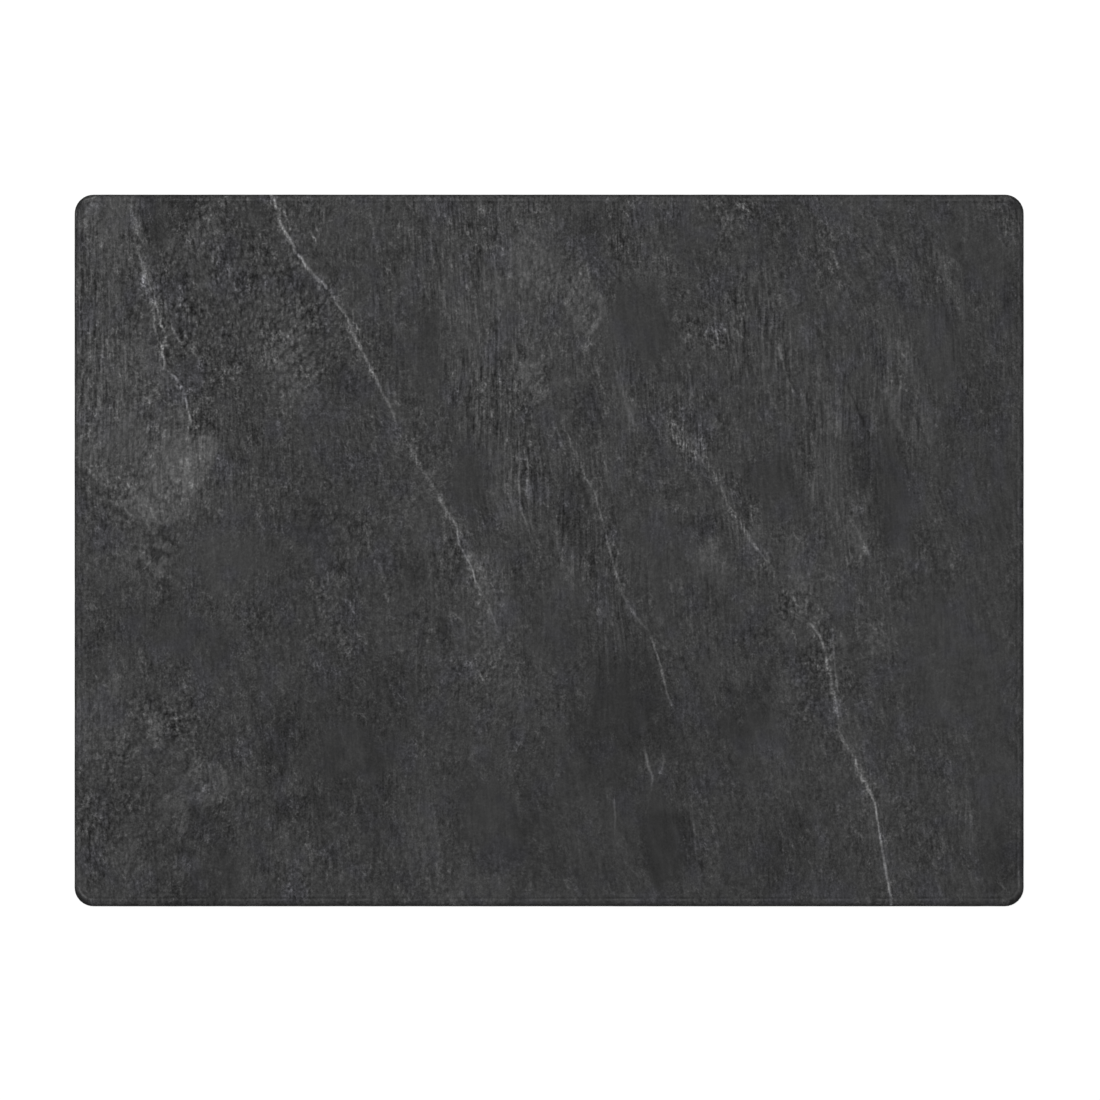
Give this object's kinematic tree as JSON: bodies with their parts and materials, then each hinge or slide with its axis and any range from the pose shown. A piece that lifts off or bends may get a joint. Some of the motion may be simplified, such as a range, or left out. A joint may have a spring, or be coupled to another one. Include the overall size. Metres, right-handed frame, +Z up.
{
  "type": "serving board",
  "caption": "Rectangular slate serving board with rounded corners and rolled edges, raised on small stick-on rubber feet so that fingers fit under its rim.",
  "frame": {"origin": "middle of the board's footprint, on the table that the feet stand on", "axes": "+X along the board's long side, +Y along its short side towards the back, +Z up out of the serving face"},
  "size_m": [0.4, 0.3, 0.011],
  "materials": {
    "slate": "matte",
    "foot_rubber": "matte",
    "adhesive": "matte"
  },
  "bodies": {
    "root": {"slate_slab": "slate", "rubber_foot_front_left": "foot_rubber", "rubber_foot_front_right": "foot_rubber", "rubber_foot_back_left": "foot_rubber", "rubber_foot_back_right": "foot_rubber", "adhesive_disc_front_left": "adhesive", "adhesive_disc_front_right": "adhesive", "adhesive_disc_back_left": "adhesive", "adhesive_disc_back_right": "adhesive"}
  },
  "joints": []
}
